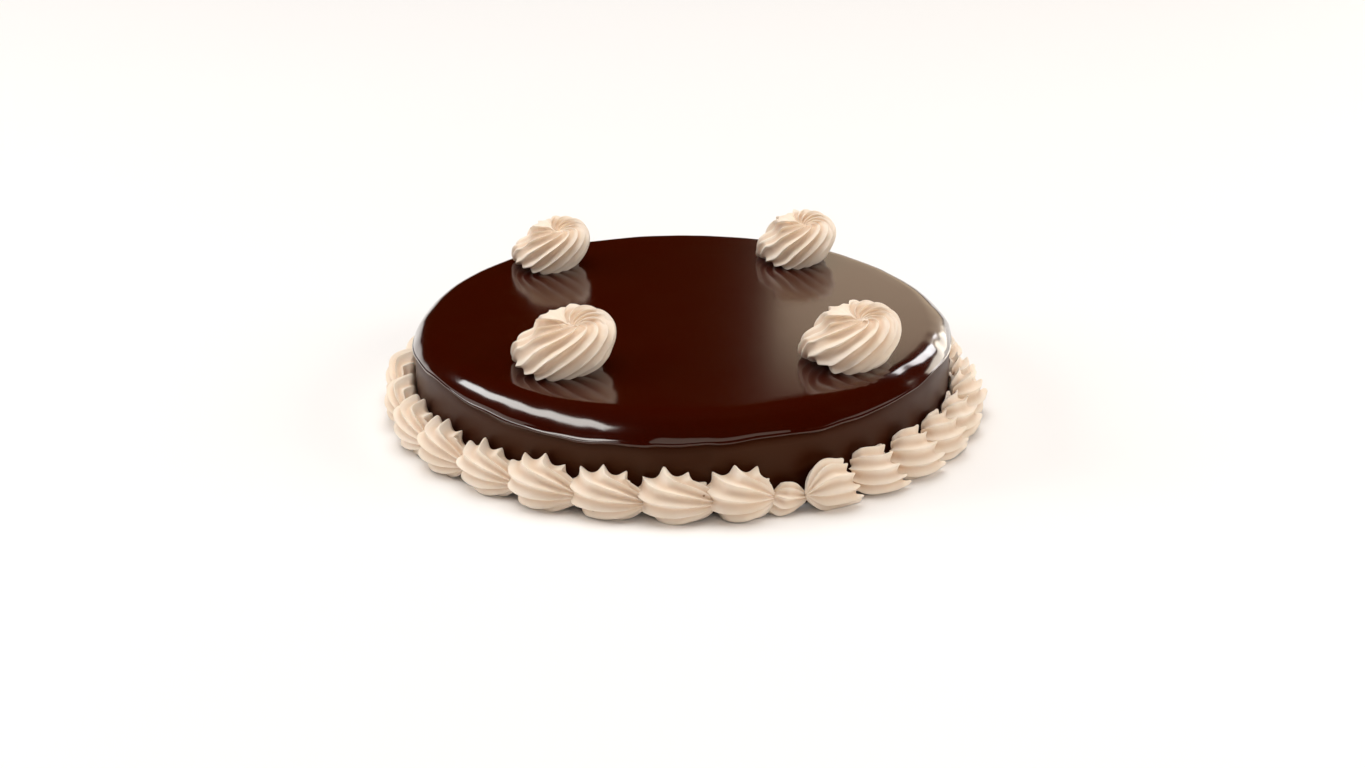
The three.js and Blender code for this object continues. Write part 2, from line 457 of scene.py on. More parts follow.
# %% The outline of the body
cake_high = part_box("cake")[1]
TOP = cake_high.z
LIP_RADIUS = cake_high.x
LIP_OVERHANG = 0.7 * MM
WALL_RADIUS = LIP_RADIUS - LIP_OVERHANG
FOOT_CHAMFER = 0.6 * MM
WAVE_FOOT = 12 * MM
LOW_WALL_SHARES = (0.3, 0.65, 1)
HIGH_WALL_SHARES = (0.3, 0.6, 0.85, 1)
LIP_HEIGHT = 27.3 * MM
CREASE_DEPTH = 0.5 * MM
CREASE_BELOW = 1.6 * MM
# How far in from the wall and down from the lip the crease's two corners lie, in crease depths.
CREASE_CORNERS = [(0.8, 1.5), (1, 0.6)]
LIP_BEAD = 0.7 * MM
BEAD_RISE = 0.6
BEAD_FROM, BEAD_TO, BEAD_STEPS = -110, 62, 10
LIP_FLARE = 0.5 * MM
LIP_RISE = 1.7 * MM
SHOULDER_WIDTH = 10 * MM
SHOULDER_FROM, SHOULDER_TO, SHOULDER_STEPS = 24, 90, 26
TOP_SHARES = (0.96, 0.88, 0.76, 0.6, 0.42, 0.24, 0.1, 0)


def arc(centre, half_width, half_height, start, end, steps):
    """Points of an elliptic arc between two angles in degrees."""
    angles = [math.radians(start + (end - start) * step / steps) for step in range(steps + 1)]
    return [(centre[0] + half_width * math.cos(a), centre[1] + half_height * math.sin(a)) for a in angles]


def body_outline():
    outline = [(0, 0), (WALL_RADIUS - FOOT_CHAMFER, 0), (WALL_RADIUS, FOOT_CHAMFER)]
    outline += [(WALL_RADIUS, WAVE_FOOT * share) for share in LOW_WALL_SHARES]
    rise = LIP_HEIGHT - CREASE_BELOW - WAVE_FOOT
    outline += [(WALL_RADIUS, WAVE_FOOT + rise * share) for share in HIGH_WALL_SHARES]
    for inward, down in CREASE_CORNERS:
        outline += [(WALL_RADIUS - CREASE_DEPTH * inward, LIP_HEIGHT - CREASE_DEPTH * down)]
    bead = (LIP_RADIUS - LIP_BEAD, LIP_HEIGHT + LIP_BEAD * BEAD_RISE)
    outline += arc(bead, LIP_BEAD, LIP_BEAD, BEAD_FROM, BEAD_TO, BEAD_STEPS)
    start = math.radians(SHOULDER_FROM)
    fall = (TOP - LIP_HEIGHT - LIP_RISE) / (1 - math.sin(start))
    centre = (LIP_RADIUS - LIP_FLARE - SHOULDER_WIDTH * math.cos(start), TOP - fall)
    outline += arc(centre, SHOULDER_WIDTH, fall, SHOULDER_FROM, SHOULDER_TO, SHOULDER_STEPS)
    outline += [(centre[0] * share, TOP) for share in TOP_SHARES]
    return outline


outline = body_outline()
print("outline:", len(outline), "points, top at", round(TOP / MM, 1), "mm")

# %% Spin the body
SPIN_STEPS = 360
MERGE_DISTANCE = 0.01 * MM


def spin_body():
    bpy.ops.object.select_all(action="DESELECT")
    bpy.ops.mesh.primitive_plane_add(size=MM)
    bpy.ops.object.mode_set(mode="EDIT")
    bpy.ops.mesh.merge(type="CENTER")
    place = Vector(ORIGIN)
    for radius, height in outline[1:]:
        corner = Vector((radius, 0, height))
        draw_out(corner - place)
        place = corner
    bpy.ops.mesh.select_all(action="SELECT")
    bpy.ops.mesh.spin(steps=SPIN_STEPS, angle=math.tau, center=ORIGIN, axis=(0, 0, 1))
    bpy.ops.mesh.select_all(action="SELECT")
    bpy.ops.mesh.remove_doubles(threshold=MERGE_DISTANCE)
    bpy.ops.mesh.normals_make_consistent(inside=False)
    bpy.ops.object.mode_set(mode="OBJECT")
    return bpy.context.object


body = spin_body()
print("body faces:", len(body.data.polygons))

# %% [markdown]
# On the real cake the lip sags in waves, and its bead is thicker here and there. Dragging each point by
# hand would be guesswork, so the height of the lip is a sum of slow waves and quick ripples, and a few
# more waves swell the bead. The wall and the shoulder stretch to follow the lip.

# %% Wave the lip
# Each wave has a count round the cake, a depth in millimetres and the angle of a peak in degrees.
LIP_WAVES = [(1, 1.35, 17.0), (2, 0.8, -3.5), (3, 1.0, -26.5), (4, 0.7, 35.7), (5, 1.1, -15.1)]
LIP_RIPPLES = [(9, 0.26, 10), (14, 0.24, 3), (23, 0.18, 7), (37, 0.12, 2)]
LIP_SWELLS = [(5, 0.22, 40), (8, 0.16, 75), (13, 0.12, 20)]
LIP_SWELL_REACH = 1.5 * MM
FULL_TURN = 360


def wave_sum(waves, angle):
    return MM * sum(depth * math.cos(count * (angle - math.radians(peak))) for count, depth, peak in waves)


def waved(height, angle):
    """A height of the outline, stretched so that the lip follows its waves."""
    lip = LIP_HEIGHT + wave_sum(LIP_WAVES + LIP_RIPPLES, angle)
    if height <= WAVE_FOOT:
        return height
    if height <= LIP_HEIGHT:
        return WAVE_FOOT + (height - WAVE_FOOT) * (lip - WAVE_FOOT) / (LIP_HEIGHT - WAVE_FOOT)
    return lip + (height - LIP_HEIGHT) * (TOP - lip) / (TOP - LIP_HEIGHT)


def wave_the_lip():
    """Moves the lip into its waves, swells its bead, and marks the wall below it for the glaze."""
    mark = body.data.attributes.new("wall", "FLOAT", "POINT")
    for point in body.data.vertices:
        below = LIP_HEIGHT - point.co.z
        mark.data[point.index].value = min(1, max(0, below / CREASE_DEPTH))
        angle = math.atan2(point.co.y, point.co.x)
        near = max(0, 1 - abs(LIP_HEIGHT + LIP_BEAD - point.co.z) / LIP_SWELL_REACH)
        if math.hypot(point.co.x, point.co.y) > WALL_RADIUS - SHOULDER_WIDTH:
            point.co.xy *= 1 + near * wave_sum(LIP_SWELLS, angle) / LIP_RADIUS
        point.co.z = waved(point.co.z, angle)


wave_the_lip()
heights = [waved(LIP_HEIGHT, math.radians(angle)) / MM for angle in range(FULL_TURN)]
print("lip from", round(min(heights), 1), "to", round(max(heights), 1), "mm high")

# %% [markdown]
# A poured shoulder is never quite even. A cloud of noise pushes it in and out, held off the flat top and
# the foot of the wall by a vertex group. Last, one shallow dent is pressed into the wall under the lip in
# front.

# %% Swell the shoulder and dent the wall
MID_LEVEL = 0.5
SHOULDER_FADE = 0.6
POUR_SIZE = 26 * MM
POUR_DEPTH = 1.2 * MM
DENT_WIDTH = 18 * MM
DENT_LOW, DENT_HIGH = 21 * MM, 25.2 * MM
DENT_DEPTH = 0.9 * MM
DENT_SPREAD = 4 * MM
BODY_SMOOTH_ANGLE = math.radians(40)


def swell_shoulder():
    shoulder = body.vertex_groups.new(name="shoulder")
    for point in body.data.vertices:
        radius = math.hypot(point.co.x, point.co.y)
        inside = min(1, max(0, (radius - LIP_RADIUS + SHOULDER_WIDTH) / (SHOULDER_WIDTH * SHOULDER_FADE)))
        above = min(1, max(0, (point.co.z - WAVE_FOOT) / (LIP_HEIGHT - WAVE_FOOT)))
        shoulder.add([point.index], inside * above, "REPLACE")
    pour = bpy.data.textures.new("pour", "CLOUDS")
    pour.noise_scale = POUR_SIZE
    settings = {"texture": pour, "vertex_group": "shoulder", "strength": POUR_DEPTH, "mid_level": MID_LEVEL}
    apply_modifier("DISPLACE", **settings)


def in_dent(point):
    across, deep, high = point.co
    return abs(across) < DENT_WIDTH / 2 and deep < -LIP_RADIUS / 2 and DENT_LOW < high < DENT_HIGH


swell_shoulder()
bpy.ops.object.mode_set(mode="EDIT")
press(in_dent, (0, DENT_DEPTH, 0), DENT_SPREAD)
bpy.ops.object.mode_set(mode="OBJECT")
bpy.ops.object.shade_smooth_by_angle(angle=BODY_SMOOTH_ANGLE)
hand_over(body, "cake", glaze)
print("body:", round(body.dimensions.x / MM, 1), "mm across")

# %% [markdown]
# ## A rope of cream
# All the cream comes out of a star nozzle, so its ropes have ridges with furrows between them. A rope
# starts as a circle with four points to a ridge: one on the crest, one in the furrow and two on the
# flanks. The rope is first drawn out smooth, ring by ring. Then the crests are pulled out and the furrows
# pushed in along the surface, which makes the ridges equally deep all round, also where a ring is wide
# and flat.

# %% Circles and ridges
POINTS_A_RIDGE = 4
CREST = 0


def start_rope(ridges, upright):
    """A unit circle in the XZ plane if upright, else in the XY plane, left in edit mode and selected."""
    bpy.ops.object.select_all(action="DESELECT")
    turned = (math.pi / 2 if upright else 0, 0, 0)
    bpy.ops.mesh.primitive_circle_add(vertices=POINTS_A_RIDGE * ridges, radius=1, rotation=turned)
    bpy.ops.object.transform_apply(rotation=True)
    bpy.ops.object.mode_set(mode="EDIT")
    bpy.ops.mesh.select_mode(type="VERT")
    bpy.ops.mesh.select_all(action="SELECT")
    return bpy.context.object


def close_end():
    """Closes the selected ring with a fan of faces."""
    bpy.ops.mesh.edge_face_add()
    bpy.ops.mesh.poke()


def ridge_ring(ring, size, star, depth):
    """Pulls one ring's points out or in along the surface: crest, flank, furrow and flank of a ridge."""
    first = ring * size
    for kind, height in enumerate(star):
        pick(lambda point: first <= point.index < first + size and point.index % POINTS_A_RIDGE == kind)
        bpy.ops.transform.shrink_fatten(value=height * depth)


def crease_crests(size, rings, sharpness):
    """Creases the lines of crests along the rope."""
    pick(lambda point: point.index < size * rings and point.index % POINTS_A_RIDGE == CREST)
    bpy.ops.transform.edge_crease(value=sharpness)


def mark_furrows(rope, size, rings, shades):
    """Marks how deep in a furrow each point lies, for the painted shade in the furrows; the closed ends get
    the most.
    """
    mark = rope.data.attributes.new("furrow", "FLOAT", "POINT")
    for point in rope.data.vertices:
        on_rope = point.index < size * rings
        mark.data[point.index].value = shades[point.index % POINTS_A_RIDGE] if on_rope else 1


def smooth_path(points, share):
    """A point at a share of the way along a smooth curve through evenly spaced points."""
    last = len(points) - 1
    step = min(int(share * last), last - 1)
    along = share * last - step
    near = [Vector(points[min(max(step + k, 0), last)]) for k in (-1, 0, 1, 2)]
    slope_in = (near[2] - near[0]) / 2
    slope_out = (near[3] - near[1]) / 2
    square, cube = along**2, along**3
    start = near[1] * (2 * cube - 3 * square + 1) + slope_in * (cube - 2 * square + along)
    return start + near[2] * (3 * square - 2 * cube) + slope_out * (cube - square)


# %% [markdown]
# ## The rosettes
# A rosette is one short rope that is pressed out while the nozzle circles, so its ridges wind from the
# foot up to an eye. Turning each ring on by the same angle would make all ridges alike. On the real ones
# they set out closer together on the left and in front than at the back, and they turn fastest near the
# eye and at the foot. So the rings are drawn out plainly, and a formula then moves each point round to
# where its line crosses its ring. The upper rings lean to the right and tip towards the front.

# %% The rings and the swept lines
ROSETTE_RIDGES = 14
ROSETTE_POINTS = POINTS_A_RIDGE * ROSETTE_RIDGES
ROSETTE_RINGS = 22
RING_CROWDING = 1.2
ROSETTE_SHARES = [(1 - step / ROSETTE_RINGS) ** RING_CROWDING for step in range(ROSETTE_RINGS)]
# Radius and height from the eye to the foot, for a rosette about one unit tall and two units wide.
ROSETTE_PROFILE = [
    (0, 0.78),
    (0.2, 0.85),
    (0.46, 0.92),
    (0.72, 0.88),
    (0.91, 0.71),
    (1, 0.43),
    (0.95, 0.15),
    (0.82, 0),
]
ROSETTE_LEAN = Vector((0.46, -0.08))
ROSETTE_EYE = Vector((0.06, 0.03))
ROSETTE_TILT = math.radians(15)
FRONT_RIDGES = 10
FRONT_SHARE = FRONT_RIDGES / ROSETTE_RIDGES
ENDS_FROM, ENDS_TO = 130, 350
SWEEP_FIRST, SWEEP_LAST = 95, 205
SWEEP_BENDS = (2.4, 0.65)


def rosette_ring(share):
    """Where a ring of a rosette one unit wide goes: centre, radius and tilt."""
    radius, height = smooth_path(ROSETTE_PROFILE, share)
    lean = (height - 0.5) / 2
    middle = ROSETTE_LEAN * lean + ROSETTE_EYE * (1 - share) ** 2
    return Vector((*middle, height)), radius / 2, ROSETTE_TILT * max(0, height) ** 2


def sweep(around, share):
    """The angle at which a line along the rope, a share of the way around it, crosses a ring."""
    if around < FRONT_SHARE:
        part = around / FRONT_SHARE
        end = ENDS_FROM + (ENDS_TO - ENDS_FROM) * part
    else:
        part = (1 - around) / (1 - FRONT_SHARE)
        end = ENDS_FROM + FULL_TURN + (ENDS_TO - ENDS_FROM - FULL_TURN) * part
    swept = SWEEP_FIRST + (SWEEP_LAST - SWEEP_FIRST) * part
    turned = sum((1 - share) ** bend for bend in SWEEP_BENDS) / len(SWEEP_BENDS)
    return math.radians(end + swept * turned)


def sweep_ring(ring, share):
    """Moves the points of one ring round to where the swept lines cross it, and tilts the ring."""
    centre, radius, tilt = rosette_ring(share)
    mesh = bmesh.from_edit_mesh(bpy.context.object.data)
    mesh.verts.ensure_lookup_table()
    for column in range(ROSETTE_POINTS):
        angle = sweep(column / ROSETTE_POINTS, share)
        across, back = radius * math.cos(angle), radius * math.sin(angle)
        spot = centre + Vector((across, back * math.cos(tilt), back * math.sin(tilt)))
        mesh.verts[ring * ROSETTE_POINTS + column].co = spot
    bmesh.update_edit_mesh(bpy.context.object.data)


print("lines sweep from", SWEEP_FIRST, "to", SWEEP_LAST, "degrees")

# %% Draw out the rosette
RING_STEP = (0, 0, 0.1)
ROSETTE_STAR = (0.048, -0.05, -0.074, -0.018)
# A ring with a smaller radius than this has shallower ridges.
ROSETTE_SHALLOW_BELOW = 0.17
ROSETTE_CREASE = 0.34


def draw_rosette():
    """A rosette one unit wide and one unit tall, standing on the origin."""
    rope = start_rope(ROSETTE_RIDGES, upright=False)
    for _ in ROSETTE_SHARES[1:]:
        draw_out(RING_STEP)
    for ring, share in enumerate(ROSETTE_SHARES):
        sweep_ring(ring, share)
    close_end()
    pick(lambda point: point.index < ROSETTE_POINTS)
    close_end()
    point_outwards()
    for ring, share in enumerate(ROSETTE_SHARES):
        depth = min(1, rosette_ring(share)[1] / ROSETTE_SHALLOW_BELOW)
        ridge_ring(ring, ROSETTE_POINTS, ROSETTE_STAR, depth)
    crease_crests(ROSETTE_POINTS, ROSETTE_RINGS, ROSETTE_CREASE)
    return rope


rosette_master = draw_rosette()
print("rosette:", ROSETTE_RINGS, "rings of", ROSETTE_POINTS, "points")

# %% [markdown]
# Where the nozzle was pulled away, on the upper left, it smeared the ridges into a smooth fan with a torn
# edge. Pulling the points in the furrows out fills them, the smooth operator evens the fan, and the ridge
# beside it is left uneven as the tear. The fan fades in from its rim, so that no beak stands out there.

# %% Smear the fan
FAN_RINGS = range(10, 19)
FAN_FADE = 4
FAN_COLUMNS = range(42, 56)
FAN_LIFTS = (-0.01, 0.05, 0.065, 0.035)
FAN_SMOOTHING = 5
TEAR_COLUMNS = range(0, 4)
TEAR_LIFTS = (0.03, -0.03, -0.045, 0.01)
TEAR_UNEVEN = 0.028
TEAR_RING_WAVE, TEAR_COLUMN_WAVE = 2.1, 0.9

fan_points = {ring * ROSETTE_POINTS + column for ring in FAN_RINGS for column in FAN_COLUMNS}


def smear_fan():
    """Fills the furrows where the nozzle was drawn off, and tears the edge below them."""
    for ring in FAN_RINGS:
        fade = min(1, (ring - FAN_RINGS[0] + 1) / FAN_FADE)
        for column in (*FAN_COLUMNS, *TEAR_COLUMNS):
            lift = FAN_LIFTS[column % POINTS_A_RIDGE]
            if column in TEAR_COLUMNS:
                uneven = math.sin(TEAR_RING_WAVE * ring + TEAR_COLUMN_WAVE * column)
                lift = TEAR_LIFTS[column] + TEAR_UNEVEN * uneven
            pick(lambda point: point.index == ring * ROSETTE_POINTS + column)
            bpy.ops.transform.shrink_fatten(value=lift * fade)
    pick(lambda point: point.index in fan_points)
    take_creases_off()
    smooth_patch(FAN_SMOOTHING)


smear_fan()
print("fan points:", len(fan_points))

# %% [markdown]
# The ends of the ridges on the left are rounded, as cream is where the nozzle first touches down. The
# foot is ragged in front and on the right, which a random push with a fixed seed gives. Three soft
# presses then push in the shoulder on the left, lift the foot under it and lower the side in front of
# that.

# %% Round the ends, fray the foot and press
ENDS_LEFT_OF = -0.3
ENDS_BELOW = 0.9
ENDS_SMOOTHING = 2
RAGGED_BELOW = 0.1
RAGGED_PUSH = 0.035
RAGGED_SEED = 3
PRESS_REACH = 0.1
# Each press has a place, a push and a spread.
SHOULDER_PRESS = (Vector((-0.42, 0.06, 0.7)), (0.1, 0, -0.03), 0.3)
FOOT_LIFT = (Vector((-0.55, -0.12, 0.22)), (0.04, 0, 0.15), 0.3)
FOOT_DIP = (Vector((-0.37, -0.4, 0.3)), (0, 0, -0.07), 0.25)
# How much painted shade a crest, flank, furrow and flank of a rosette get, through the furrow mark.
ROSETTE_SHADES = (0, 0.85, 1, 0.4)

pick(lambda point: point.co.x < ENDS_LEFT_OF and point.co.z < ENDS_BELOW)
take_creases_off()
smooth_patch(ENDS_SMOOTHING)
pick(lambda point: point.co.x > ENDS_LEFT_OF and 0 < point.co.z < RAGGED_BELOW)
bpy.ops.transform.vertex_random(offset=RAGGED_PUSH, seed=RAGGED_SEED)
for place, push, spread in (SHOULDER_PRESS, FOOT_LIFT, FOOT_DIP):
    press(lambda point: (point.co - place).length < PRESS_REACH, push, spread)
bpy.ops.object.mode_set(mode="OBJECT")
mark_furrows(rosette_master, ROSETTE_POINTS, ROSETTE_RINGS, ROSETTE_SHADES)
# The smeared fan has no furrows, so it gets no painted shade.
for index in fan_points:
    rosette_master.data.attributes["furrow"].data[index].value = 0
print("rosette height:", round(rosette_master.dimensions.z, 2))

# %% [markdown]
# ## Copies, each a little different
# The master is copied to every place with a mesh of its own, and its place is then worked into the mesh.
# No two blobs of cream are alike, so every copy is subdivided and then pushed in and out by a cloud of
# noise. The cloud fills space, so every copy cuts another part of it.

# %% Copy and soften
UNEVEN_SIZE = 9 * MM
UNEVEN_DEPTH = 0.9 * MM
SUBDIVISIONS = 2

unevenness = bpy.data.textures.new("unevenness", "CLOUDS")
unevenness.noise_scale = UNEVEN_SIZE
unevenness.noise_depth = 1


def copy_to(master, place, angle, size):
    """A copy of a master at a place, turned and sized, with all of that worked into its mesh."""
    bpy.ops.object.select_all(action="DESELECT")
    master.select_set(True)
    bpy.context.view_layer.objects.active = master
    bpy.ops.object.duplicate(linked=False)
    piece = bpy.context.object
    piece.location = place
    piece.rotation_euler = (0, 0, angle)
    piece.scale = size
    bpy.ops.object.transform_apply(location=True, rotation=True, scale=True)
    bpy.ops.object.mode_set(mode="EDIT")
    point_outwards()
    bpy.ops.object.mode_set(mode="OBJECT")
    return piece


def soften():
    """Rounds the active piece and makes it as uneven as piped cream."""
    apply_modifier("SUBSURF", levels=SUBDIVISIONS, render_levels=SUBDIVISIONS)
    settings = {"texture": unevenness, "texture_coords": "LOCAL", "mid_level": MID_LEVEL}
    apply_modifier("DISPLACE", strength=UNEVEN_DEPTH, **settings)
    bpy.ops.object.shade_smooth()


# %% [markdown]
# The four rosettes differ most in how their ropes fold. So each copy has its own turn, and one fold is
# pushed out at a place of its own before the copy is softened.

# %% Set the rosettes
ROSETTE_SINK = 0.2 * MM
FOLD_REACH = 4 * MM
ROSETTE_TURNS = {
    "rosette_front_left": 0,
    "rosette_front_right": 9,
    "rosette_back_left": 4,
    "rosette_back_right": 16,
}
# Each fold has a place from the rosette's middle, a push and a spread, in millimetres.
ROSETTE_FOLDS = {
    "rosette_front_left": ((14, -9, 3), (1.2, -0.6, 0.8), 5),
    "rosette_front_right": ((-11.5, -11, 5), (-0.5, -0.5, 2.5), 7),
    "rosette_back_left": ((-9, -9, 3), (0, -0.8, 1.2), 5),
    "rosette_back_right": ((8, -11, 4), (0.5, -0.8, 1.0), 5),
}


def fold(middle, offset, push, spread):
    """Pushes out one fold of the active rosette."""
    spot = Vector(middle) + Vector(offset) * MM
    bpy.ops.object.mode_set(mode="EDIT")
    press(lambda point: (point.co - spot).length < FOLD_REACH, Vector(push) * MM, spread * MM)
    bpy.ops.object.mode_set(mode="OBJECT")


for node, turned in ROSETTE_TURNS.items():
    low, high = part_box(node)
    middle = (low + high) / 2
    place = (middle.x, middle.y, TOP - ROSETTE_SINK)
    width = (high.x - low.x + high.y - low.y) / 2 / (1 + ROSETTE_STAR[CREST])
    piece = copy_to(rosette_master, place, math.radians(turned), (width, width, high.z - TOP))
    fold(place, *ROSETTE_FOLDS[node])
    soften()
    hand_over(piece, node, cream)
    print(node, "width", round(width / MM, 1), "mm")
bpy.data.objects.remove(rosette_master)

# %% [markdown]
# ## The border's shells
# A shell starts with a press of the nozzle, which leaves a mouth edged with the teeth of the star, and is
# drawn off into a tail. The two runs were piped in different ways. A left shell starts square to the
# wall, with its mouth against it, and bends round to run along it into a point. A right shell starts with
# its mouth looking back along the border, and hooks into the wall. A path gives each its own bend: a list
# of places, each with a ring's half width, half height and turn, and a smooth curve through them places
# all the rings.

# %% The paths of the shells
SHELL_RIDGES = 10
SHELL_POINTS = POINTS_A_RIDGE * SHELL_RIDGES
SHELL_LENGTH = 22 * MM
SHELL_WAYS = (0, 0.04, 0.1, 0.17, 0.25, 0.34, 0.44, 0.54, 0.64, 0.74, 0.84, 0.92, 1)
# Out from the wall, along it, height, half width and half height in millimetres, and a turn in degrees.
LEFT_PATH = [
    (0.4, 0.0, 8.6, 11.5, 8.2, -90),
    (5.9, 1.6, 8.0, 9.8, 8.2, -68),
    (7.0, 6.2, 7.3, 7.2, 7.0, -48),
    (5.9, 11.2, 6.7, 4.3, 4.4, -35),
    (4.0, 15.6, 6.4, 0.4, 0.5, -30),
]
LAST_LEFT_PATH = [
    (0.4, -0.5, 8.6, 11.0, 8.2, -90),
    (5.9, 0.8, 8.0, 9.4, 8.2, -68),
    (7.0, 4.4, 7.3, 7.0, 7.0, -48),
    (6.1, 8.2, 6.7, 4.2, 4.4, -35),
    (4.7, 11.8, 6.4, 0.4, 0.5, -30),
]
RIGHT_PATH = [
    (5.8, -9.5, 8.4, 6.2, 8.6, 20),
    (6.2, -5.0, 8.4, 6.8, 8.8, 30),
    (5.8, 0.0, 8.7, 6.6, 8.7, 45),
    (4.4, 4.6, 9.0, 5.4, 8.2, 62),
    (1.6, 7.8, 9.4, 3.0, 5.6, 75),
]
LAST_RIGHT_PATH = [
    (5.6, -9.0, 7.7, 5.6, 7.3, 10),
    (6.3, -4.5, 8.0, 6.3, 8.0, 5),
    (6.4, 1.0, 8.2, 6.0, 8.3, 0),
    (6.6, 6.5, 7.6, 4.6, 6.6, -5),
    (7.0, 11.5, 6.8, 0.6, 0.8, -10),
]
CLOSING_PATH = [
    (5.3, -5.1, 8.4, 3.7, 6.3, -15),
    (6.4, -2.4, 7.3, 5.1, 7.6, -11),
    (6.7, 1.3, 6.9, 4.8, 6.8, -9),
    (6.7, 5.5, 6.7, 3.0, 4.2, -7),
    (6.8, 10.1, 6.7, 0.4, 0.5, 0),
]
print("rings of a shell:", len(SHELL_WAYS))

# %% [markdown]
# The five kinds of shell also differ in their mouths: how far the ring leans back, how long the teeth are
# at the top and at the sides, how far their tips are drawn on, and below what height the teeth are
# blunted. The fill closes the mouth with smaller rings. Each step of it sizes the ring about a place out
# from the wall, and shifts it.

# %% The forms of the shells
LEFT_SHELL = {
    "path": LEFT_PATH,
    "tilt": math.radians(12),
    "top_tooth": 1.7 * MM,
    "side_tooth": 0.3 * MM,
    "draw": 0.4,
    "blunt": 12 * MM,
    "fill": [((0.5, 0.9, 0.85), 0, (0, 0, -0.8)), ((0, 0.7, 0.7), 0, (0, 0, -0.8))],
}
LAST_LEFT_SHELL = {**LEFT_SHELL, "path": LAST_LEFT_PATH}
RIGHT_SHELL = {
    "path": RIGHT_PATH,
    "tilt": math.radians(35),
    "top_tooth": 0.9 * MM,
    "side_tooth": 1.1 * MM,
    "draw": 1.1,
    "blunt": 0,
    "fill": [((0.82, 0.82, 0.82), 5.8, (-0.3, 0.8, -1.0)), ((0.45, 0.45, 0.45), 5.8, (-0.2, 0.6, -0.6))],
}
LAST_RIGHT_SHELL = {
    **RIGHT_SHELL,
    "path": LAST_RIGHT_PATH,
    "tilt": math.radians(22),
    "top_tooth": 0.2 * MM,
}
CLOSING_SHELL = {
    "path": CLOSING_PATH,
    "tilt": math.radians(35),
    "top_tooth": 0,
    "side_tooth": 0,
    "draw": 0,
    "blunt": 0,
    "fill": [((0.84, 0.84, 0.84), 5.3, (-0.5, -1.7, 0)), ((0.5, 0.5, 0.5), 5.3, (-0.3, -1.1, 0))],
}


def shell_ring(form, way):
    """Where a ring of a shell goes: centre, half width, half height, turn and tilt."""
    out, along, height, half_width, half_height, turned = smooth_path(form["path"], way)
    centre = Vector((out, along, height)) * MM
    return centre, half_width * MM, half_height * MM, math.radians(turned), form["tilt"] * (1 - way)


mouth_width = shell_ring(LEFT_SHELL, SHELL_WAYS[0])[1] * 2
print("mouth of a left shell:", round(mouth_width / MM, 1), "mm wide")

# %% [markdown]
# To draw out the next ring, the last one is extruded on the spot, turned back square, sized, turned to
# its new slant and shifted on. Then the mouth is filled and the ridges are raised. The teeth come last:
# each crest at the mouth is pulled out along the surface, and its tip is drawn on beyond the mouth, no
# two quite alike.


# %% Draw out the rings and fill the mouth
def draw_rings(form):
    """Draws the rope of a shell out along its path, from its mouth to its tail."""
    centre, width, height, turned, tilt = shell_ring(form, SHELL_WAYS[0])
    grow((width, 1, height), ORIGIN)
    turn(-tilt, "X", ORIGIN)
    turn(turned, "Z", ORIGIN)
    shift(centre)
    for way in SHELL_WAYS[1:]:
        new_centre, new_width, new_height, new_turned, new_tilt = shell_ring(form, way)
        draw_out(ORIGIN)
        turn(-turned, "Z", centre)
        turn(tilt, "X", centre)
        grow((new_width / width, 1, new_height / height), centre)
        turn(-new_tilt, "X", centre)
        turn(new_turned, "Z", centre)
        shift(new_centre - centre)
        centre, width, height, turned, tilt = new_centre, new_width, new_height, new_turned, new_tilt
    close_end()


def fill_mouth(form):
    """Fills the mouth: smaller rings, drawn on to the wall or back into the rope, and then closed."""
    centre = shell_ring(form, SHELL_WAYS[0])[0]
    pick(lambda point: point.index < SHELL_POINTS)
    for factors, out, step in form["fill"]:
        draw_out(ORIGIN)
        grow(factors, (out * MM, centre.y, centre.z))
        shift(Vector(step) * MM)
    close_end()


# %% Pull the teeth
TOOTH_RISE = (1, 0.7, 0.4, 0.18, 0.06)
TOOTH_DRAW = (1, 0.55, 0.2)
TOOTH_UNEVEN = 0.3
TOOTH_WAVE = 2.3
BLUNT_RINGS = 3
BLUNT_SMOOTHING = 3


def tooth_length(form, tooth, jag):
    """How long a tooth gets: between the side's and the top's length, and uneven."""
    centre = shell_ring(form, SHELL_WAYS[0])[0]
    mesh = bmesh.from_edit_mesh(bpy.context.object.data)
    mesh.verts.ensure_lookup_table()
    tip = mesh.verts[tooth * POINTS_A_RIDGE]
    high = max(0, (tip.co - centre).normalized().z)
    uneven = 1 + TOOTH_UNEVEN * math.sin(TOOTH_WAVE * tooth + jag)
    return (form["side_tooth"] * (1 - high) + form["top_tooth"] * high) * uneven


def pull_teeth(form, jag):
    """Pulls the crests at the mouth up into teeth, and draws their tips on beyond it."""
    turned, tilt = shell_ring(form, SHELL_WAYS[0])[3:]
    looks = Vector((math.sin(turned), -math.cos(turned), 0))
    backward = looks * math.cos(tilt) + Vector((0, 0, math.sin(tilt)))
    for tooth in range(SHELL_RIDGES):
        length = tooth_length(form, tooth, jag)
        for ring, share in enumerate(TOOTH_RISE):
            pick(lambda point: point.index == ring * SHELL_POINTS + tooth * POINTS_A_RIDGE)
            bpy.ops.transform.shrink_fatten(value=length * share)
        for ring, share in enumerate(TOOTH_DRAW):
            pick(lambda point: point.index == ring * SHELL_POINTS + tooth * POINTS_A_RIDGE)
            shift(backward * form["draw"] * length * share)
    if form["blunt"]:
        pick(lambda point: point.index < BLUNT_RINGS * SHELL_POINTS and point.co.z < form["blunt"])
        smooth_patch(BLUNT_SMOOTHING)


# %% A finished shell
X_AXIS, Z_AXIS = 0, 2
SHELL_STAR = (1.15 * MM, -0.45 * MM, -1.2 * MM, -0.45 * MM)
# A ring with a smaller half height than this has shallower ridges.
SHELL_SHALLOW_BELOW = 5 * MM
SHELL_CREASE = 0.36
